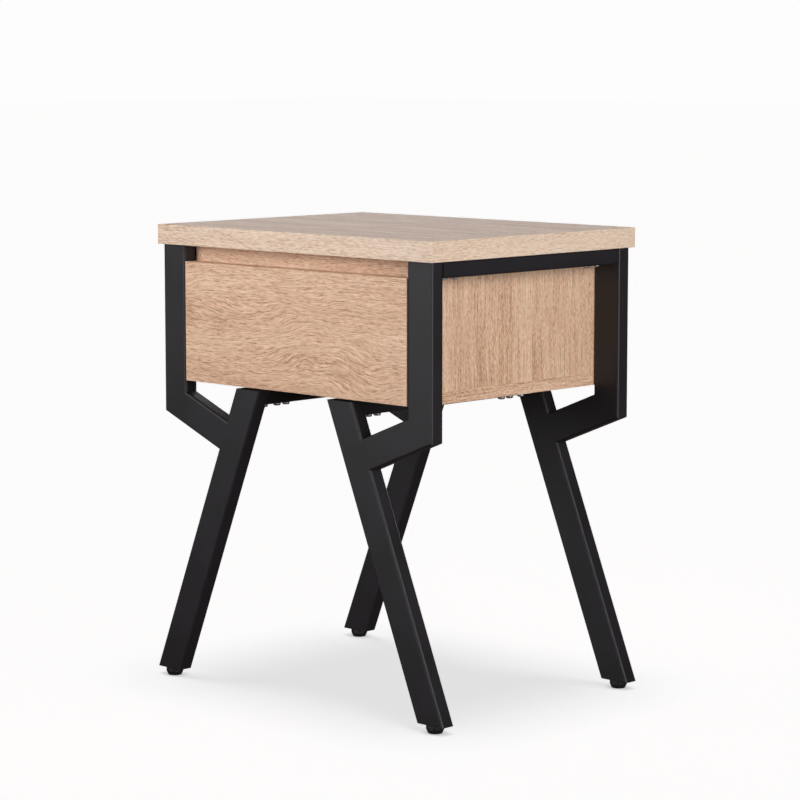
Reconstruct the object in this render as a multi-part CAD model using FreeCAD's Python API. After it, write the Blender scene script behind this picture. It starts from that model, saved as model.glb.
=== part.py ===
import FreeCAD, Part
import math
import os

# Side table with one drawer: a laminate top and box carried by a welded frame of
# rectangular steel tube. Millimetres, +Z up, the front faces -Y, and the origin is
# on the floor under the middle of the table. "left" is -X and "right" is +X.

# ---- driving dimensions -------------------------------------------------------
width = 480.0              # top panel, left to right
depth = 370.0              # top panel, front to back
height = 585.0             # floor to the upper face of the top
top_thickness = 25.0
edge_band = 1.0            # thickness of the strip glued round the top
edge_round = 0.6           # rounding of the strip's outer edges
top_overhang = 5.0         # top panel past the steel frame, on every side

tube_width = 40.0
tube_depth = 20.0
tube_wall = 1.5
tube_radius = 3.0          # outer corner radius of the tube
box_rail_width = 20.0      # square tube of the same depth under the box
splay = 22.0               # degrees: legs from vertical, braces from horizontal
leg_spread = 59.0          # middle of the table to a leg's inner edge, at the box
elbow_drop = 12.0          # inside corner of post and brace, under the box

foot_height = 10.0         # floor to the end of a leg
foot_gap = 0.4             # foot pad to the leg's end
foot_diameter = 22.0
foot_rim_height = 4.3      # straight rim at the top of a foot pad
sole_diameter = 17.0
foot_round = 1.0
stud_radius = 4.0
stud_length = 18.0         # stud above the leg's end
stud_clearance = 0.05
stud_in_pad = 4.5          # stud moulded into the pad
plug_height = 12.0
cap_thickness = 2.0        # plate welded into a leg's open upper end

board = 15.0               # laminated board of the box
box_height = 175.0         # top panel's underside to the box's underside
box_side_gap = 0.5         # box to the posts, at each side
box_rear_inset = 2.0       # box's back in front of the rear posts' rear faces
rail_board_height = 40.0   # board across the box's mouth, behind the finger gap
dowel_radius = 4.0
dowel_length = 30.0
dowel_in_face = 9.0        # dowel depth in the face of a board
cam_radius = 7.5
cam_depth = 12.0
cam_distance = 24.0        # cam centre to the joint
cam_bolt_radius = 3.0
cam_clearance = 0.2
cam_inset = 40.0           # cam to the front or rear end of a side panel
dowel_inset = 100.0        # dowel to the front or rear end of a side panel

front_board = 18.0
front_side_gap = 1.0       # drawer front to each post
front_top_gap = 20.5       # finger gap over the drawer front
front_bottom_gap = 3.0     # drawer front above the box's underside
front_stop_gap = 2.0       # drawer front to the box's front edges
front_edge_round = 0.6

drawer_board = 12.0
drawer_floor = 4.0
drawer_floor_rise = 10.0   # drawer floor above the drawer's lower edge
groove_depth = 5.0
drawer_lift = 10.0         # drawer above the box's inner floor
drawer_top_gap = 8.0       # drawer under the board across the mouth
drawer_shorter = 10.0      # drawer sides shorter than the slides

slide_step = 50.0          # slides come in lengths of this step
slide_setback = 2.0        # slides behind the box's front edges
slide_height = 45.0
slide_thickness = 12.7
slide_sheet = 1.2
slide_travel_loss = 20.0   # travel shorter than the slide's length
flange_reach = 10.0        # cabinet member's flange, from the side panel
web_gap = 1.3              # between nested webs, where a ball cage runs
ball_radius = 1.6
ball_clearance = 0.15
ball_pitch = 16.0
cage_sheet = 0.5
cage_share = 0.43          # cage length as a share of the slide's
cage_forward = 0.28        # cage front end behind the slide's front, same share

bolt_radius = 2.5          # M5 bolts between frame, top and box
bolt_hole = 2.8
bolt_head_radius = 4.75
bolt_head_height = 3.7
socket_width = 3.0
socket_depth = 2.0
bolt_grip = 10.0           # bolt past the tube, in its threaded insert
insert_radius = 3.75
insert_length = 12.0
top_bolt_insets = (20.0, 40.0)        # bolts of a top rail, from the post
box_bolt_insets = (9.0, 31.0, 46.5)   # bolts of a box rail, from the leg

screw_radius = 1.75
screw_head_radius = 3.5
screw_head_depth = 1.8
screw_clearance = 0.05
slide_screw_length = 11.0
box_screw_length = 38.0
front_screw_length = 24.0
front_screw_head = 2.0     # pan head on the drawer's inside
screw_edge = 9.0           # screws from the drawer's upper edge and floor
front_screw_x = 100.0      # screws of the drawer front, from the middle
front_screw_edge = 28.0    # and from the drawer's upper and lower edges
slide_screw_inset = 35.0

# ---- derived places -----------------------------------------------------------
top_under = height - top_thickness
box_under = top_under - box_height
box_floor = box_under + board
frame_x = width / 2 - top_overhang
frame_y = depth / 2 - top_overhang
post_x = frame_x - tube_width / 2
post_inner = frame_x - tube_width
inner_y = frame_y - tube_depth
row_y = frame_y - tube_depth / 2

lean = math.radians(splay)
leg_width_level = tube_width / math.cos(lean)
leg_middle = leg_spread + leg_width_level / 2
elbow_inside = box_under - elbow_drop
elbow_outside = elbow_inside + tube_width * math.tan(lean) - tube_width / math.cos(lean)
leg_foot_x = leg_middle + (box_under - foot_height) * math.tan(lean)

box_x = post_inner - box_side_gap
front_face = -frame_y
front_back = front_face + front_board
box_front = front_back + front_stop_gap
box_rear = frame_y - box_rear_inset
side_inner = box_x - board
back_inner = box_rear - board
mouth_top = top_under - rail_board_height

front_x = post_inner - front_side_gap
front_low = box_under + front_bottom_gap
front_high = top_under - front_top_gap

drawer_x = side_inner - slide_thickness
drawer_low = box_floor + drawer_lift
drawer_high = mouth_top - drawer_top_gap
slide_z = (drawer_low + drawer_high) / 2
slide_front = box_front + slide_setback
slide_length = slide_step * math.floor((back_inner - slide_front) / slide_step)
slide_travel = slide_length - slide_travel_loss
drawer_front_y = front_back
drawer_rear_y = slide_front + slide_length - drawer_shorter
drawer_floor_z = drawer_low + drawer_floor_rise

cabinet_half = slide_height / 2
middle_half = cabinet_half - slide_sheet - 2 * (ball_radius + ball_clearance)
member_half = middle_half - slide_sheet - 2 * (ball_radius + ball_clearance)
outer_ball_z = cabinet_half - slide_sheet - ball_radius - ball_clearance
inner_ball_z = middle_half - slide_sheet - ball_radius - ball_clearance
middle_web = side_inner - slide_sheet - web_gap
member_reach = middle_web - slide_sheet - web_gap
ball_x = (side_inner - flange_reach + member_reach) / 2


# ---- shapes -------------------------------------------------------------------
def block(x0, x1, y0, y1, z0, z1):
    """Box between two corners."""
    return Part.makeBox(x1 - x0, y1 - y0, z1 - z0, FreeCAD.Vector(x0, y0, z0))


def rod(radius, length, point, direction):
    return Part.makeCylinder(radius, length, FreeCAD.Vector(*point), FreeCAD.Vector(*direction))


def group(shapes):
    """Separate solids kept together in one piece."""
    return Part.makeCompound(shapes)


def mirror_x(shape):
    return shape.mirror(FreeCAD.Vector(0, 0, 0), FreeCAD.Vector(1, 0, 0))


def mirror_y(shape):
    return shape.mirror(FreeCAD.Vector(0, 0, 0), FreeCAD.Vector(0, 1, 0))


def left_and_right(shapes):
    return shapes + [mirror_x(shape) for shape in shapes]


def front_and_rear(shapes):
    return shapes + [mirror_y(shape) for shape in shapes]


def without(shape, tools):
    """The shape with every tool cut out of it."""
    return shape.cut(tools) if tools else shape


def rounded_bar(size_x, size_y, radius, length):
    """Solid bar along +Z with rounded long edges, centred on the Z axis."""
    bar = block(-size_x / 2, size_x / 2, -size_y / 2, size_y / 2, 0, length)
    upright = [edge for edge in bar.Edges if abs(edge.tangentAt(edge.FirstParameter).z) > 0.9]
    return bar.makeFillet(radius, upright)


def tube_outside(length, wide=tube_width):
    return rounded_bar(wide, tube_depth, tube_radius, length)


def tube_bore(length, wide=tube_width):
    inner_wide = wide - 2 * tube_wall
    inner_depth = tube_depth - 2 * tube_wall
    return rounded_bar(inner_wide, inner_depth, tube_radius - tube_wall, length)


def tube(length, wide=tube_width):
    """Hollow tube along +Z, wide side along X."""
    return tube_outside(length, wide).cut(tube_bore(length, wide))


def lay(shape, start, angle):
    """Turns a shape from +Z towards +X by an angle in degrees, then moves it to start."""
    placed = shape.copy()
    placed.rotate(FreeCAD.Vector(0, 0, 0), FreeCAD.Vector(0, 1, 0), angle)
    placed.translate(FreeCAD.Vector(*start))
    return placed


def trim(shape, point, angle):
    """Cuts away what lies past a plane through the point, whose normal leans from +Z to +X."""
    size = 4 * (width + depth + height)
    tool = block(-size / 2, size / 2, -size / 2, size / 2, 0, size)
    return shape.cut(lay(tool, point, angle))


def countersunk(point, direction, length, clearance=0.0):
    """Screw whose flat head lies in the surface at the point."""
    start = FreeCAD.Vector(*point)
    axis = FreeCAD.Vector(*direction)
    head = Part.makeCone(
        screw_head_radius + clearance,
        screw_radius + clearance,
        screw_head_depth,
        start,
        axis,
    )
    shank = Part.makeCylinder(screw_radius + clearance, length + clearance, start, axis)
    return head.fuse(shank)


def edges_at(shape, axis, value):
    """Edges whose middle lies at a value along X, Y or Z."""
    return [e for e in shape.Edges if abs(getattr(e.CenterOfMass, axis) - value) < 0.01]


def export(name, shape):
    shape.exportStep(os.path.join("parts", name + ".step"))


# ---- table top ----------------------------------------------------------------
def insert_places():
    """Threaded inserts and their bolts: (x, y, z of the joint face) for one corner."""
    places = [(post_x, inner_y - inset, top_under) for inset in top_bolt_insets]
    return places + [(leg_middle, inner_y - inset, box_under) for inset in box_bolt_insets]


def insert_holes(joint_z):
    holes = []
    for x, y, z in insert_places():
        if z == joint_z:
            holes.append(rod(insert_radius, insert_length, (x, y, z), (0, 0, 1)))
    return front_and_rear(left_and_right(holes))


def make_top():
    core_x = width / 2 - edge_band
    core_y = depth / 2 - edge_band
    core = block(-core_x, core_x, -core_y, core_y, top_under, height)
    export("top_panel", without(core, insert_holes(top_under)))

    long_band = block(-width / 2, width / 2, -depth / 2, -core_y, top_under, height)
    long_band = long_band.makeFillet(edge_round, edges_at(long_band, "y", -depth / 2))
    export("top_edges_front_rear", group(front_and_rear([long_band])))

    short_band = block(core_x, width / 2, -core_y, core_y, top_under, height)
    lengthwise = [e for e in edges_at(short_band, "x", width / 2) if abs(e.CenterOfMass.y) < 1]
    short_band = short_band.makeFillet(edge_round, lengthwise)
    export("top_edges_sides", group(left_and_right([short_band])))


# ---- steel frame --------------------------------------------------------------
def mitre_angle():
    """Lean of the mitre plane's normal, from +Z towards +X."""
    rise = elbow_inside - elbow_outside
    return math.degrees(math.atan2(rise, tube_width))


def post():
    """Right front post, cut at its foot on the mitre with the brace."""
    length = top_under - elbow_outside
    shape = lay(tube(length), (post_x, -row_y, elbow_outside), 0)
    return trim(shape, (frame_x, -row_y, elbow_outside), 180 + mitre_angle())


def brace():
    """Right front brace, from the mitre down and inwards, shaped to the leg's rounded edge."""
    half = tube_width / 2
    axis_x = post_inner + half * math.sin(lean)
    axis_z = elbow_inside - half * math.cos(lean)
    reach = frame_x
    start_x = axis_x - reach * math.cos(lean)
    start_z = axis_z - reach * math.sin(lean)
    shape = lay(tube(2 * reach), (start_x, -row_y, start_z), 90 - splay)
    shape = trim(shape, (frame_x, -row_y, elbow_outside), mitre_angle())
    shape = trim(shape, (leg_middle, -row_y, box_under), 270 - splay)
    return shape.cut(leg_line(tube_outside))


def leg_line(shape_of_length):
    """A shape along the right front leg, cut level at the box and over the foot."""
    extra = tube_width
    drop = box_under - foot_height
    length = drop / math.cos(lean) + 2 * extra
    start_x = leg_middle - extra * math.sin(lean)
    start_z = box_under + extra * math.cos(lean)
    shape = lay(shape_of_length(length), (start_x, -row_y, start_z), 180 - splay)
    shape = trim(shape, (0, -row_y, box_under), 0)
    return trim(shape, (0, -row_y, foot_height), 180)


def leg_cap():
    """Plate that closes the right front leg's upper end, flush with the tube's cut."""
    low = (0, -row_y, box_under - cap_thickness)
    return trim(leg_line(tube_bore), low, 180)


def lengthwise_tube(x, top_z, wide):
    """Tube lying flat from the front legs or posts to the rear ones."""
    shape = tube(2 * inner_y, wide)
    shape.rotate(FreeCAD.Vector(0, 0, 0), FreeCAD.Vector(1, 0, 0), 90)
    shape.translate(FreeCAD.Vector(x, inner_y, top_z - tube_depth / 2))
    return shape


def bolt_holes(joint_z):
    holes = []
    for x, y, z in insert_places():
        if z == joint_z:
            holes.append(rod(bolt_hole, tube_depth, (x, y, z - tube_depth), (0, 0, 1)))
    return front_and_rear(holes)


def make_frame():
    corner = {"post": post(), "brace": brace(), "leg": leg_line(tube)}
    for name, shape in corner.items():
        export(name + "_front_right", shape)
        export(name + "_front_left", mirror_x(shape))
        export(name + "_rear_right", mirror_y(shape))
        export(name + "_rear_left", mirror_x(mirror_y(shape)))

    top_rail = lengthwise_tube(post_x, top_under, tube_width)
    top_rail = without(top_rail, bolt_holes(top_under))
    box_rail = lengthwise_tube(leg_middle, box_under, box_rail_width)
    box_rail = without(box_rail, bolt_holes(box_under))
    export("top_rail_right", top_rail)
    export("top_rail_left", mirror_x(top_rail))
    export("box_rail_right", box_rail)
    export("box_rail_left", mirror_x(box_rail))
    export("leg_caps", group(front_and_rear(left_and_right([leg_cap()]))))


def frame_bolt(x, y, joint_z):
    """Pan-head bolt from under a tube, through it, into the board over it."""
    seat = joint_z - tube_depth
    head = rod(bolt_head_radius, bolt_head_height, (x, y, seat - bolt_head_height), (0, 0, 1))
    head = head.makeFillet(bolt_head_height / 2, edges_at(head, "z", seat - bolt_head_height))
    corners = []
    for index in range(7):
        turn = math.radians(60 * index)
        corner_x = x + socket_width / math.sqrt(3) * math.cos(turn)
        corner_y = y + socket_width / math.sqrt(3) * math.sin(turn)
        corners.append(FreeCAD.Vector(corner_x, corner_y, seat - bolt_head_height))
    socket = Part.Face(Part.makePolygon(corners)).extrude(FreeCAD.Vector(0, 0, socket_depth))
    shank = rod(bolt_radius, tube_depth + bolt_grip, (x, y, seat), (0, 0, 1))
    return head.cut(socket).fuse(shank)


def threaded_insert(x, y, joint_z):
    sleeve = rod(insert_radius, insert_length, (x, y, joint_z), (0, 0, 1))
    return sleeve.cut(rod(bolt_radius + stud_clearance, insert_length, (x, y, joint_z), (0, 0, 1)))


def make_frame_fasteners():
    bolts = [frame_bolt(*place) for place in insert_places()]
    inserts = [threaded_insert(*place) for place in insert_places()]
    export("frame_bolts", group(front_and_rear(left_and_right(bolts))))
    export("threaded_inserts", group(front_and_rear(left_and_right(inserts))))


# ---- levelling feet -----------------------------------------------------------
def foot_pad():
    """Round pad: straight rim, then a taper with rounded edges down to the floor."""
    pad_top = foot_height - foot_gap
    rim_low = pad_top - foot_rim_height
    rim = rod(foot_diameter / 2, foot_rim_height, (0, 0, rim_low), (0, 0, 1))
    taper = Part.makeCone(sole_diameter / 2, foot_diameter / 2, rim_low)
    pad = rim.fuse(taper).removeSplitter()
    ends = edges_at(pad, "z", 0) + edges_at(pad, "z", pad_top)
    return pad.makeFillet(foot_round, ends)


def make_feet():
    stud_low = foot_height - foot_gap - stud_in_pad
    stud_high = foot_height + stud_length
    stud = rod(stud_radius, stud_high - stud_low, (0, 0, stud_low), (0, 0, 1))
    pad = foot_pad().cut(stud)
    stud = stud.makeChamfer(0.2 * stud_radius, edges_at(stud, "z", stud_high))
    corners = {
        "front_right": (leg_foot_x, -row_y),
        "front_left": (-leg_foot_x, -row_y),
        "rear_right": (leg_foot_x, row_y),
        "rear_left": (-leg_foot_x, row_y),
    }
    for corner, (x, y) in corners.items():
        for name, shape in (("foot_pad_", pad), ("foot_stud_", stud)):
            placed = shape.copy()
            placed.translate(FreeCAD.Vector(x, y, 0))
            export(name + corner, placed)

    plug = trim(leg_line(tube_bore), (0, 0, foot_height + plug_height), 0)
    bore = rod(stud_radius + stud_clearance, plug_height, (leg_foot_x, -row_y, foot_height), (0, 0, 1))
    export("leg_plugs", group(front_and_rear(left_and_right([plug.cut(bore)]))))


# ---- box ----------------------------------------------------------------------
def upright_dowels():
    """Dowels between the bottom board and the right side panel."""
    dowels = []
    for y in (box_front + dowel_inset, box_rear - dowel_inset):
        low = box_floor - dowel_in_face
        dowels.append(rod(dowel_radius, dowel_length, (box_x - board / 2, y, low), (0, 0, 1)))
    return dowels


def level_dowels():
    """Dowels from the right side panel into the mouth board and the back panel."""
    start = side_inner + dowel_in_face
    dowels = []
    for share in (0.25, 0.75):
        z = mouth_top + share * rail_board_height
        dowels.append(rod(dowel_radius, dowel_length, (start, box_front + board / 2, z), (-1, 0, 0)))
    for share in (0.2, 0.8):
        z = box_floor + share * (top_under - box_floor)
        dowels.append(rod(dowel_radius, dowel_length, (start, box_rear - board / 2, z), (-1, 0, 0)))
    return dowels


def cam_places():
    return (box_front + cam_inset, box_rear - cam_inset)


def cam_bolt(y, clearance=0.0):
    """Bolt that stands in the bottom board and reaches into the cam."""
    x = side_inner + board / 2
    low = box_floor - dowel_in_face
    length = dowel_in_face + cam_distance
    return rod(cam_bolt_radius + clearance, length + clearance, (x, y, low), (0, 0, 1))


def cam_disc(y):
    return rod(cam_radius, cam_depth, (side_inner, y, box_floor + cam_distance), (1, 0, 0))


def slide_screw_places():
    first = slide_front + slide_screw_inset
    last = slide_front + slide_length - slide_screw_inset
    return (first, (first + last) / 2, last)


def cabinet_screws(clearance=0.0):
    x = side_inner - slide_sheet
    return [
        countersunk((x, y, slide_z), (1, 0, 0), slide_screw_length, clearance)
        for y in slide_screw_places()
    ]


def drawer_slide_screws(clearance=0.0):
    x = drawer_x + slide_sheet
    return [
        countersunk((x, y, slide_z), (-1, 0, 0), slide_screw_length, clearance)
        for y in slide_screw_places()
    ]


def make_box():
    cam_bolts = [cam_bolt(y) for y in cam_places()]
    cam_discs = [cam_disc(y) for y in cam_places()]
    cam_bolt_room = [cam_bolt(y, cam_clearance) for y in cam_places()]

    bottom = block(-box_x, box_x, box_front, box_rear, box_under, box_floor)
    cuts = left_and_right(upright_dowels() + cam_bolts) + insert_holes(box_under)
    export("box_bottom", without(bottom, cuts))

    side = block(side_inner, box_x, box_front, box_rear, box_floor, top_under)
    cuts = upright_dowels() + level_dowels() + cam_bolt_room + cam_discs
    side = without(side, cuts + cabinet_screws(screw_clearance))
    export("box_side_right", side)
    export("box_side_left", mirror_x(side))

    mouth = block(-side_inner, side_inner, box_front, box_front + board, mouth_top, top_under)
    export("box_mouth_board", without(mouth, left_and_right(level_dowels())))
    back = block(-side_inner, side_inner, back_inner, box_rear, box_floor, top_under)
    export("box_back", without(back, left_and_right(level_dowels())))

    dowels = upright_dowels() + level_dowels()
    export("box_dowels", group(left_and_right(dowels)))
    export("cam_bolts", group(left_and_right(cam_bolts)))
    discs = [without(disc, cam_bolt_room) for disc in cam_discs]
    export("cam_discs", group(left_and_right(discs)))


# ---- drawer slides ------------------------------------------------------------
def channel(web_outer, web_side, half, reach):
    """Sheet channel along Y: a web at web_outer and flanges that reach from it."""
    far = web_outer + web_side * slide_sheet
    end = web_outer + web_side * reach
    rear = slide_front + slide_length
    low_x, high_x = sorted((web_outer, end))
    whole = block(low_x, high_x, slide_front, rear, slide_z - half, slide_z + half)
    low_x, high_x = sorted((far, end + web_side))
    inner = half - slide_sheet
    hollow = block(low_x, high_x, slide_front, rear, slide_z - inner, slide_z + inner)
    return whole.cut(hollow)


def ball_cage(web_x, row_z, flange_end):
    """Ball cage along Y: a thin channel with a row of balls in each flange."""
    front = slide_front + cage_forward * slide_length
    rear = front + cage_share * slide_length
    half = row_z + cage_sheet / 2
    whole = block(flange_end, web_x, front, rear, slide_z - half, slide_z + half)
    inner = half - cage_sheet
    hollow = block(flange_end - 1, web_x - cage_sheet, front, rear, slide_z - inner, slide_z + inner)
    cage = whole.cut(hollow)
    count = math.floor((rear - front) / ball_pitch)
    first = (front + rear) / 2 - (count - 1) * ball_pitch / 2
    holes = []
    balls = []
    for index in range(count):
        y = first + index * ball_pitch
        holes.append(rod(ball_radius + ball_clearance, 2 * half, (ball_x, y, slide_z - half), (0, 0, 1)))
        for side in (-1, 1):
            centre = FreeCAD.Vector(ball_x, y, slide_z + side * row_z)
            balls.append(Part.makeSphere(ball_radius, centre))
    return group([cage.cut(holes)] + balls)


def make_slides():
    cabinet = channel(side_inner, -1, cabinet_half, flange_reach)
    cabinet = without(cabinet, cabinet_screws(screw_clearance))
    middle_reach = middle_web - (side_inner - flange_reach)
    middle = channel(middle_web, -1, middle_half, middle_reach)
    drawer = channel(drawer_x, 1, member_half, member_reach - drawer_x)
    drawer = without(drawer, drawer_slide_screws(screw_clearance))
    cage_play = (web_gap - cage_sheet) / 2
    flange_end = side_inner - flange_reach
    outer_cage = ball_cage(middle_web + web_gap - cage_play, outer_ball_z, flange_end)
    inner_cage = ball_cage(member_reach + web_gap - cage_play, inner_ball_z, flange_end)
    pieces = {
        "slide_cabinet_member": cabinet,
        "slide_middle_member": middle,
        "slide_drawer_member": drawer,
        "slide_outer_cage": outer_cage,
        "slide_inner_cage": inner_cage,
    }
    for name, shape in pieces.items():
        export(name + "_right", shape)
        export(name + "_left", mirror_x(shape))
    export("slide_box_screws", group(left_and_right(cabinet_screws())))
    export("slide_drawer_screws", group(left_and_right(drawer_slide_screws())))


# ---- drawer -------------------------------------------------------------------
def drawer_box_screws(clearance=0.0):
    """Screws from the right drawer side into the inner front and the back."""
    screws = []
    for y in (drawer_front_y + drawer_board / 2, drawer_rear_y - drawer_board / 2):
        for z in (drawer_floor_z + drawer_floor + screw_edge, drawer_high - screw_edge):
            screws.append(countersunk((drawer_x, y, z), (-1, 0, 0), box_screw_length, clearance))
    return screws


def drawer_front_screws(clearance=0.0):
    """Pan-head screws from inside the drawer, through its inner front, into the front."""
    screws = []
    y = drawer_front_y + drawer_board
    for x in (-front_screw_x, front_screw_x):
        for z in (drawer_low + front_screw_edge, drawer_high - front_screw_edge):
            head = rod(screw_head_radius, front_screw_head, (x, y, z), (0, 1, 0))
            head = head.makeFillet(front_screw_head / 2, edges_at(head, "y", y + front_screw_head))
            shank = rod(screw_radius + clearance, front_screw_length + clearance, (x, y, z), (0, -1, 0))
            screws.append(shank if clearance else head.fuse(shank))
    return screws


def make_drawer():
    inner_x = drawer_x - drawer_board
    box_screws = left_and_right(drawer_box_screws(screw_clearance))
    front_screws = drawer_front_screws(screw_clearance)
    floor = block(
        -inner_x - groove_depth,
        inner_x + groove_depth,
        drawer_front_y + drawer_board - groove_depth,
        drawer_rear_y - drawer_board + groove_depth,
        drawer_floor_z,
        drawer_floor_z + drawer_floor,
    )
    export("drawer_floor", floor)

    side = block(inner_x, drawer_x, drawer_front_y, drawer_rear_y, drawer_low, drawer_high)
    side = without(side, [floor] + box_screws + drawer_slide_screws(screw_clearance))
    export("drawer_side_right", side)
    export("drawer_side_left", mirror_x(side))

    board_rear = drawer_front_y + drawer_board
    inner_front = block(-inner_x, inner_x, drawer_front_y, board_rear, drawer_low, drawer_high)
    export("drawer_inner_front", without(inner_front, [floor] + box_screws + front_screws))
    board_front = drawer_rear_y - drawer_board
    back = block(-inner_x, inner_x, board_front, drawer_rear_y, drawer_low, drawer_high)
    export("drawer_back", without(back, [floor] + box_screws))

    front = block(-front_x, front_x, front_face, front_back, front_low, front_high)
    front = front.makeFillet(front_edge_round, edges_at(front, "y", front_face))
    export("drawer_front", without(front, front_screws))
    export("drawer_box_screws", group(left_and_right(drawer_box_screws())))
    export("drawer_front_screws", group(drawer_front_screws()))


os.makedirs("parts", exist_ok=True)
make_top()
make_frame()
make_frame_fasteners()
make_feet()
make_box()
make_slides()
make_drawer()
print("slides", slide_length, "mm long, drawer travel", slide_travel, "mm")
print("foot axes at x", round(leg_foot_x, 3), "y", row_y)
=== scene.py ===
import math

import bmesh
import bpy
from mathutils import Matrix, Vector

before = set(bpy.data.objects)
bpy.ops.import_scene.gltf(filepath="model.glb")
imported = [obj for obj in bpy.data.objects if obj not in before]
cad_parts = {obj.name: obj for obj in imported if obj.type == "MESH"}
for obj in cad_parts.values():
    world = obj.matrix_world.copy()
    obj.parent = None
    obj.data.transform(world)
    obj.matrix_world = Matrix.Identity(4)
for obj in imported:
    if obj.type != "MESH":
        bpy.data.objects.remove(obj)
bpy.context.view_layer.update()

mm = 0.001


def hexToLinear(code):
    # sRGB hex to the linear values that the shaders work in
    channels = [int(code[i:i + 2], 16) / 255 for i in (1, 3, 5)]
    linear = [c / 12.92 if c <= 0.04045 else ((c + 0.055) / 1.055) ** 2.4 for c in channels]
    return (*linear, 1.0)


def addNode(tree, kind, settings=None, links=None, stops=()):
    # one node with its settings, what its inputs are linked or set to, and a ramp's colours
    node = tree.nodes.new(kind)
    for name, value in (settings or {}).items():
        setattr(node, name, value)
    for name, value in (links or {}).items():
        if isinstance(value, bpy.types.Node):
            value = value.outputs[0]   # a whole node stands for its first output
        if isinstance(value, bpy.types.NodeSocket):
            tree.links.new(value, node.inputs[name])
        else:
            node.inputs[name].default_value = value
    if stops:
        elements = node.color_ramp.elements
        while len(elements) < len(stops):
            elements.new(0.5)
        for element, (place, code) in zip(elements, stops):
            element.position = place
            element.color = hexToLinear(code)
    return node


def newMaterial(name):
    material = bpy.data.materials.new(name)
    material.use_nodes = True
    material.node_tree.nodes.clear()
    return material, material.node_tree


def finishMaterial(tree, shaderInputs):
    shader = addNode(tree, "ShaderNodeBsdfPrincipled", links=shaderInputs)
    addNode(tree, "ShaderNodeOutputMaterial", links={"Surface": shader})


usualLow, usualHigh = 0.3, 0.7   # random marks mostly stay between these values


def marks(tree, coords, along, across, detail=2.0, rough=0.5):
    # random marks of a real size in metres, with X of the coordinates running along them
    sized = addNode(tree, "ShaderNodeMapping", {"vector_type": "POINT"}, {
        "Vector": coords, "Scale": (1 / along, 1 / across, 1 / across)})
    return addNode(tree, "ShaderNodeTexNoise", links={
        "Vector": sized, "Scale": 1.0, "Detail": detail, "Roughness": rough})


def paint(material, pieces):
    for piece in pieces:
        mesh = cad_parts[piece].data
        mesh.materials.clear()
        mesh.materials.append(material)


# melamine paper printed with pale, rough-sawn oak and pressed with a light grain
oak = {
    # from the low, dark pores to the high, pale wood
    "stops": ((0.10, "#a27c63"), (0.38, "#d2a788"), (0.60, "#e8c0a0"), (0.95, "#f6dcc2")),
    "paleness": 0.55,
    # size along the grain, size across it and strength of each layer of the print
    "toneAlong": 420 * mm, "toneAcross": 34 * mm, "tone": 0.42,
    "ringAlong": 150 * mm, "ringAcross": 7 * mm, "ring": 0.30,
    # real pores are 0.3 mm wide, drawn at 0.5 mm and more to show at this distance
    "strokeAlong": 9 * mm, "strokeAcross": 0.52 * mm, "stroke": 1.6,
    "fibreAlong": 40 * mm, "fibreAcross": 0.9 * mm, "fibre": 0.8,
    "poreAlong": 16 * mm, "poreAcross": 1.6 * mm, "pore": 0.22,
    "poreStart": 0.55, "poreFull": 0.68, "poreShare": 0.2,
    # how far the swirls bend the grain, and how little of that is left in the calm places
    "swirlAlong": 150 * mm, "swirlAcross": 60 * mm, "swirlDepth": 30 * mm,
    "calmAlong": 210 * mm, "calmAcross": 80 * mm, "calmShare": 0.3,
    "calmEnd": 0.45, "swirlFull": 0.68, "driftLow": 0.2, "driftHigh": 0.8,
    "emboss": 0.12 * mm, "embossStrength": 0.5,
    "roughness": 0.5, "poreRoughness": 0.7, "ior": 1.5,
}
# boards away from the swirls are calmer, with long straight fibres
calmOak = {**oak, "fibreAlong": 90 * mm, "fibreAcross": 0.8 * mm, "fibre": 1.2,
           "strokeAlong": 5 * mm, "ring": 0.2, "pore": 0.15, "tone": 0.6,
           "toneAcross": 30 * mm, "swirlDepth": 10 * mm}
topOak = {**calmOak, "fibre": 1.9, "stroke": 1.9, "tone": 0.4, "ring": 0.5}
# the box's mouth and back get a darker, less red copy of the print: painted shade for the slab's
# shadow over the recessed mouth, and less red against the warm light that bounces inside it
mouthOakPaintedShade = {**oak, "stops": (
    (0.10, "#9e7b63"), (0.38, "#cda588"), (0.60, "#e2be9f"), (0.95, "#f0dac1"))}
# the strips round the top are the palest
edgeOak = {**oak, "strokeAlong": 8 * mm, "fibre": 0.6, "pore": 0.2, "swirlDepth": 4 * mm, "stops": (
    (0.10, "#ad8e76"), (0.38, "#e0c1a8"), (0.60, "#eed5bc"), (0.95, "#faeada"))}


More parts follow.
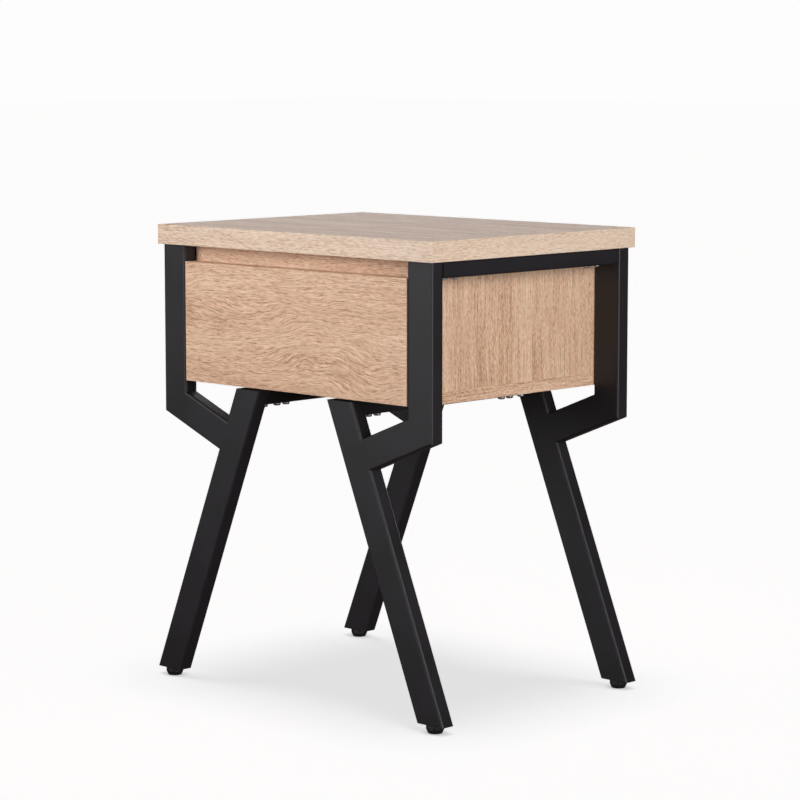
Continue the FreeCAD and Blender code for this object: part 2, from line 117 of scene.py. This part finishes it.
def oakLaminate(name, look, grain, across, cut):
    # the eye gets pale tan oak with fine dark strokes that flow round a few swirls
    material, tree = newMaterial(name)
    coords = addNode(tree, "ShaderNodeTexCoord").outputs["Object"]
    sheet = addNode(tree, "ShaderNodeMapping", {"vector_type": "POINT"}, {
        "Vector": coords, "Location": cut})
    axes = addNode(tree, "ShaderNodeSeparateXYZ", links={0: sheet}).outputs
    through = "XYZ".replace(grain, "").replace(across, "")
    straight = addNode(tree, "ShaderNodeCombineXYZ", links={
        "X": axes[grain], "Y": axes[across], "Z": axes[through]})

    # bends the grain sideways, so that rings and strokes run round soft eyes
    drift = marks(tree, straight, look["swirlAlong"], look["swirlAcross"], detail=1.0, rough=0.4)
    side = addNode(tree, "ShaderNodeMapRange", links={
        "Value": drift, "From Min": look["driftLow"], "From Max": look["driftHigh"],
        "To Min": -1.0, "To Max": 1.0})
    calm = marks(tree, straight, look["calmAlong"], look["calmAcross"], detail=0.0)
    reach = addNode(tree, "ShaderNodeMapRange", links={
        "Value": calm, "From Min": look["calmEnd"], "From Max": look["swirlFull"],
        "To Min": look["calmShare"] * look["swirlDepth"], "To Max": look["swirlDepth"]})
    push = addNode(tree, "ShaderNodeMath", {"operation": "MULTIPLY"}, {0: side, 1: reach})
    pushed = addNode(tree, "ShaderNodeCombineXYZ", links={"Y": push})
    flow = addNode(tree, "ShaderNodeVectorMath", {"operation": "ADD"}, {0: straight, 1: pushed})

    layers = {
        "tone": marks(tree, straight, look["toneAlong"], look["toneAcross"]),
        "ring": marks(tree, flow, look["ringAlong"], look["ringAcross"], detail=3.0, rough=0.55),
        "stroke": marks(tree, flow, look["strokeAlong"], look["strokeAcross"], detail=1.0),
        "fibre": marks(tree, flow, look["fibreAlong"], look["fibreAcross"], detail=1.0),
    }
    clusters = marks(tree, flow, look["poreAlong"], look["poreAcross"], rough=0.6)
    pores = addNode(tree, "ShaderNodeMapRange", links={
        "Value": clusters, "From Min": look["poreStart"], "From Max": look["poreFull"]})

    # one height for the whole print; each layer averages a half, so half its strength comes off
    height = look["paleness"] + look["poreShare"] * look["pore"]
    height -= sum(look[layer] / 2 for layer in layers)
    for layer, node in layers.items():
        height = addNode(tree, "ShaderNodeMath", {"operation": "MULTIPLY_ADD"}, {
            0: node, 1: look[layer], 2: height})
    height = addNode(tree, "ShaderNodeMath", {"operation": "MULTIPLY_ADD"}, {
        0: pores, 1: -look["pore"], 2: height})

    colour = addNode(tree, "ShaderNodeValToRGB", links={0: height}, stops=look["stops"])
    bump = addNode(tree, "ShaderNodeBump", links={
        "Strength": look["embossStrength"], "Distance": look["emboss"], "Height": height})
    dull = addNode(tree, "ShaderNodeMapRange", links={
        "Value": pores, "To Min": look["roughness"], "To Max": look["poreRoughness"]})
    finishMaterial(tree, {"Base Color": colour, "Roughness": dull, "Normal": bump,
                          "IOR": look["ior"]})
    return material


# each board: its look, the axis of its grain, the axis across it, where on the sheet it is
# cut (metres) and its pieces
boards = {
    "oakLaminateTop": (topOak, "X", "Y", (0.31, 0.12, 0.0), ["top_panel"]),
    "oakEdgeLong": (edgeOak, "X", "Z", (0.9, 0.4, 0.1), ["top_edges_front_rear"]),
    "oakEdgeShort": (edgeOak, "Y", "Z", (0.2, 0.7, 0.5), ["top_edges_sides"]),
    "oakLaminateFront": (oak, "X", "Z", (0.05, 0.33, 0.62), ["drawer_front"]),
    "oakLaminateSide": (calmOak, "Z", "Y", (0.4, 0.1, 0.7), ["box_side_left", "box_side_right"]),
    "oakLaminateBottom": (calmOak, "Y", "X", (0.5, 0.8, 0.3), ["box_bottom"]),
    # the mouth board and back take the darker copy of the print, which is painted shade
    "oakLaminateMouthPaintedShade": (mouthOakPaintedShade, "X", "Z", (0.7, 0.2, 0.9), ["box_mouth_board", "box_back"]),
    "oakLaminateDrawer": (calmOak, "Y", "Z", (0.15, 0.9, 0.2),
                          ["drawer_side_left", "drawer_side_right"]),
    "oakLaminateDrawerEnds": (calmOak, "X", "Z", (0.65, 0.15, 0.4),
                              ["drawer_inner_front", "drawer_back"]),
    "oakLaminateDrawerFloor": (calmOak, "Y", "X", (0.25, 0.65, 0.8), ["drawer_floor"]),
}
for name, (look, grain, across, cut, pieces) in boards.items():
    paint(oakLaminate(name, look, grain, across, cut), pieces)
print("laminate boards done")


# matt black powder coat with a fine orange peel
powder = {
    # from clean to lightly dusty, in soft clouds
    "stops": ((0.35, "#17161b"), (0.75, "#1c1a21")),
    "cloud": 60 * mm,
    "roughness": 0.46, "dustRoughness": 0.54, "ior": 1.5,
    "peel": 1.2 * mm,         # real texture is about 0.4 mm, drawn larger to show
    "peelDepth": 0.03 * mm, "peelStrength": 0.35,
}


def powderCoatedSteel():
    # black that lifts to charcoal where it faces the light, with soft edges of sheen
    material, tree = newMaterial("powderCoatedSteel")
    coords = addNode(tree, "ShaderNodeTexCoord").outputs["Object"]
    cloud = marks(tree, coords, powder["cloud"], powder["cloud"], detail=3.0)
    colour = addNode(tree, "ShaderNodeValToRGB", links={0: cloud}, stops=powder["stops"])
    dull = addNode(tree, "ShaderNodeMapRange", links={
        "Value": cloud, "From Min": usualLow, "From Max": usualHigh,
        "To Min": powder["roughness"], "To Max": powder["dustRoughness"]})
    peel = marks(tree, coords, powder["peel"], powder["peel"], detail=3.0, rough=0.6)
    bump = addNode(tree, "ShaderNodeBump", links={
        "Strength": powder["peelStrength"], "Distance": powder["peelDepth"], "Height": peel})
    finishMaterial(tree, {"Base Color": colour, "Roughness": dull, "Normal": bump,
                          "IOR": powder["ior"]})
    return material


def forEach(kinds, places):
    return [f"{kind}_{place}" for kind in kinds for place in places]


sides = ("left", "right")
corners = ("front_left", "front_right", "rear_left", "rear_right")
paint(powderCoatedSteel(), ["leg_caps", *forEach(("post", "brace", "leg"), corners),
                            *forEach(("top_rail", "box_rail"), sides)])
print("steel frame done")


# small parts, with marks of a real size along and across them; a metal keeps the default IOR
fittings = {
    # satin near-black with a faint speckle
    "mouldedNylon": {
        "stops": ((0.35, "#19191a"), (0.70, "#101011")), "metallic": 0.0, "roughness": 0.42,
        "along": 1.5 * mm, "across": 1.5 * mm, "ior": 1.53,
        "pieces": ["leg_plugs", *forEach(["foot_pad"], corners)]},
    # bright, cool grey, slightly clouded by the plating
    "zincPlatedSteel": {
        "stops": ((0.35, "#c9ccd1"), (0.70, "#a9adb3")), "metallic": 1.0, "roughness": 0.28,
        "along": 3 * mm, "across": 3 * mm,
        "pieces": ["frame_bolts", "cam_bolts", "slide_box_screws", "slide_drawer_screws",
                   "drawer_box_screws", "drawer_front_screws", *forEach(["foot_stud"], corners),
                   *forEach(("slide_cabinet_member", "slide_middle_member",
                             "slide_drawer_member"), sides)]},
    # shinier strip, streaked the way it was rolled
    "ballCageSteel": {
        "stops": ((0.35, "#b9bbbe"), (0.70, "#8f9296")), "metallic": 1.0, "roughness": 0.2,
        "along": 4 * mm, "across": 1 * mm,
        "pieces": forEach(("slide_outer_cage", "slide_inner_cage"), sides)},
    # warm yellow with fine tool marks
    "turnedBrass": {
        "stops": ((0.35, "#d6b162"), (0.70, "#b48f45")), "metallic": 1.0, "roughness": 0.25,
        "along": 1 * mm, "across": 4 * mm,
        "pieces": ["threaded_inserts"]},
    # greyer and duller than the plated parts, with a fine grain
    "castZinc": {
        "stops": ((0.35, "#b4b6b9"), (0.70, "#999b9f")), "metallic": 1.0, "roughness": 0.4,
        "along": 1 * mm, "across": 1 * mm,
        "pieces": ["cam_discs"]},
    # dull pinkish tan with short flecks
    "beechDowel": {
        "stops": ((0.35, "#d8b188"), (0.70, "#bf9467")), "metallic": 0.0, "roughness": 0.6,
        "along": 12 * mm, "across": 1 * mm, "ior": 1.5,
        "pieces": ["box_dowels"]},
}
fittingMarks = {"extraRoughness": 0.12, "depth": 0.02 * mm, "strength": 0.2}


def fittingMaterial(name, look):
    # the marks darken the colour, dull the gloss and dent the surface a little
    material, tree = newMaterial(name)
    coords = addNode(tree, "ShaderNodeTexCoord").outputs["Object"]
    dents = marks(tree, coords, look["along"], look["across"], detail=3.0, rough=0.6)
    colour = addNode(tree, "ShaderNodeValToRGB", links={0: dents}, stops=look["stops"])
    dull = addNode(tree, "ShaderNodeMapRange", links={
        "Value": dents, "From Min": usualLow, "From Max": usualHigh,
        "To Min": look["roughness"],
        "To Max": look["roughness"] + fittingMarks["extraRoughness"]})
    bump = addNode(tree, "ShaderNodeBump", links={
        "Strength": fittingMarks["strength"], "Distance": fittingMarks["depth"], "Height": dents})
    shaderInputs = {"Base Color": colour, "Roughness": dull, "Metallic": look["metallic"],
                    "Normal": bump}
    if "ior" in look:
        shaderInputs["IOR"] = look["ior"]
    finishMaterial(tree, shaderInputs)
    return material


for name, look in fittings.items():
    paint(fittingMaterial(name, look), look["pieces"])
print("plastic, screws and slides done")


floorSet = {
    "size": 60.0, "albedo": "#e8e8e8", "roughness": 0.9, "glowColour": "#fdfeff", "glow": 0.712,
    "footShade": 10 * mm, "footGlow": 0.45,   # painted contact shadow: how near a foot the glow fades, and what is left
}


def makeFloor():
    # a lit white acrylic sheet: it glows, and of the lamps it takes only the shadow of the light from
    # above; its glow dims near the feet as a painted contact shadow
    mesh = bpy.data.meshes.new("floor")
    form = bmesh.new()
    bmesh.ops.create_grid(form, x_segments=4, y_segments=4, size=floorSet["size"] / 2)
    form.to_mesh(mesh)
    form.free()
    floor = bpy.data.objects.new("floor", mesh)
    bpy.context.scene.collection.objects.link(floor)
    floor.visible_diffuse = False
    floor.visible_glossy = False
    material, tree = newMaterial("litAcrylicTable")
    # painted contact shadow: the glow dims where a foot stands close
    paintedFootShadow = addNode(tree, "ShaderNodeAmbientOcclusion", links={"Distance": floorSet["footShade"]})
    glow = addNode(tree, "ShaderNodeMapRange", links={
        "Value": paintedFootShadow.outputs["AO"],
        "To Min": floorSet["footGlow"] * floorSet["glow"], "To Max": floorSet["glow"]})
    finishMaterial(tree, {"Base Color": hexToLinear(floorSet["albedo"]),
                          "Roughness": floorSet["roughness"], "Specular IOR Level": 0.0,
                          "Emission Color": hexToLinear(floorSet["glowColour"]),
                          "Emission Strength": glow})
    mesh.materials.append(material)
    return floor


room = {
    "colour": "#ffe6d8", "strength": 0.09,      # what the table gets from all round
    "paper": "#ffffff", "paperStrength": 0.983,   # what is seen behind it
}


def makeWorld():
    # a dim, slightly warm room, and plain white paper as the camera sees it
    world = bpy.data.worlds.new("studio")
    world.use_nodes = True
    tree = world.node_tree
    tree.nodes.clear()
    seen = addNode(tree, "ShaderNodeLightPath").outputs["Is Camera Ray"]
    walls = addNode(tree, "ShaderNodeBackground", links={
        "Color": hexToLinear(room["colour"]), "Strength": room["strength"]})
    paper = addNode(tree, "ShaderNodeBackground", links={
        "Color": hexToLinear(room["paper"]), "Strength": room["paperStrength"]})
    mixed = addNode(tree, "ShaderNodeMixShader", links={0: seen, 1: walls, 2: paper})
    addNode(tree, "ShaderNodeOutputWorld", links={0: mixed})
    bpy.context.scene.world = world


def receivers(name, state, *linked):
    # a light's own list of what it shines on, or what it leaves out
    group = bpy.data.collections.new(name)
    for thing in linked:
        group.objects.link(thing)
    for entry in group.collection_objects:
        entry.light_linking.link_state = state
    return group


floor = makeFloor()
makeWorld()
tableOnly = receivers("tableOnly", "EXCLUDE", floor)
floorOnly = receivers("floorOnly", "INCLUDE", floor)
belowTop = receivers("belowTop", "EXCLUDE", floor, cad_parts["top_panel"])

# angles in degrees, distances and sizes in metres, power in watts; a distance starts from
# the middle of the table at lampHeight, and aim is the height that the light points at
lampHeight = 0.4
softboxes = {
    "leftSoftbox": {"azimuth": -20, "elevation": 20, "distance": 2.0, "size": 1.2, "power": 3.3,
                    "spread": 60, "aim": 0.58, "shinesOn": tableOnly},
    "frontSoftbox": {"azimuth": -5, "elevation": 8, "distance": 2.0, "size": 1.9, "power": 7.7,
                     "spread": 180, "aim": 0.4, "shinesOn": tableOnly},
    "rightSoftbox": {"azimuth": 78, "elevation": 12, "distance": 2.4, "size": 1.5, "power": 8.2,
                     "spread": 68, "aim": 0.5, "shinesOn": tableOnly},
    # these two graze the top and the frame from behind
    "backdropSoftbox": {"azimuth": -136, "elevation": 9, "distance": 3.0, "size": 1.6,
                        "power": 24.5, "spread": 180, "aim": 0.4, "shinesOn": tableOnly},
    "rearSoftbox": {"azimuth": -150, "elevation": 6, "distance": 3.0, "size": 1.6,
                    "power": 60, "spread": 180, "aim": 0.4, "shinesOn": belowTop},
}
# a soft light from the ceiling, which gives the floor its blurred shadow
overhead = {"width": 24, "strength": 0.806, "height": 3.0, "shinesOn": floorOnly}


def outward(azimuth, elevation):
    # from the table toward a light or the camera; azimuth runs from its front to its right
    turn = math.radians(azimuth)
    lift = math.radians(elevation)
    return Vector((math.sin(turn) * math.cos(lift), -math.cos(turn) * math.cos(lift), math.sin(lift)))


def pointAt(thing, target):
    thing.rotation_mode = "QUATERNION"
    thing.rotation_quaternion = (target - thing.location).to_track_quat("-Z", "Y")


def makeSoftbox(name, lamp):
    light = bpy.data.lights.new(name, "AREA")
    light.shape = "SQUARE"
    light.size = lamp["size"]
    light.energy = lamp["power"]
    light.spread = math.radians(lamp["spread"])
    box = bpy.data.objects.new(name, light)
    bpy.context.scene.collection.objects.link(box)
    box.location = Vector((0, 0, lampHeight)) + lamp["distance"] * outward(
        lamp["azimuth"], lamp["elevation"])
    pointAt(box, Vector((0, 0, lamp["aim"])))
    box.light_linking.receiver_collection = lamp["shinesOn"]


def makeOverhead(name, lamp):
    light = bpy.data.lights.new(name, "SUN")
    light.angle = math.radians(lamp["width"])
    light.energy = lamp["strength"]
    ceiling = bpy.data.objects.new(name, light)
    bpy.context.scene.collection.objects.link(ceiling)
    ceiling.location = (0, 0, lamp["height"])
    ceiling.light_linking.receiver_collection = lamp["shinesOn"]


for name, lamp in softboxes.items():
    makeSoftbox(name, lamp)
makeOverhead("overheadLight", overhead)
bpy.context.scene.view_settings.view_transform = "Standard"
print("stage and light done")


cameraSet = {
    "lens": 129.3, "sensor": 36.0,
    "azimuth": 43.96, "elevation": 7.02, "distance": 3.6505,
    "aim": (0.0052, 0.0050, 0.3634),
}


def makeCamera():
    data = bpy.data.cameras.new("camera")
    data.lens = cameraSet["lens"]
    data.sensor_width = cameraSet["sensor"]
    camera = bpy.data.objects.new("camera", data)
    bpy.context.scene.collection.objects.link(camera)
    aim = Vector(cameraSet["aim"])
    camera.location = aim + cameraSet["distance"] * outward(
        cameraSet["azimuth"], cameraSet["elevation"])
    pointAt(camera, aim)
    bpy.context.scene.camera = camera


makeCamera()
print("camera done")
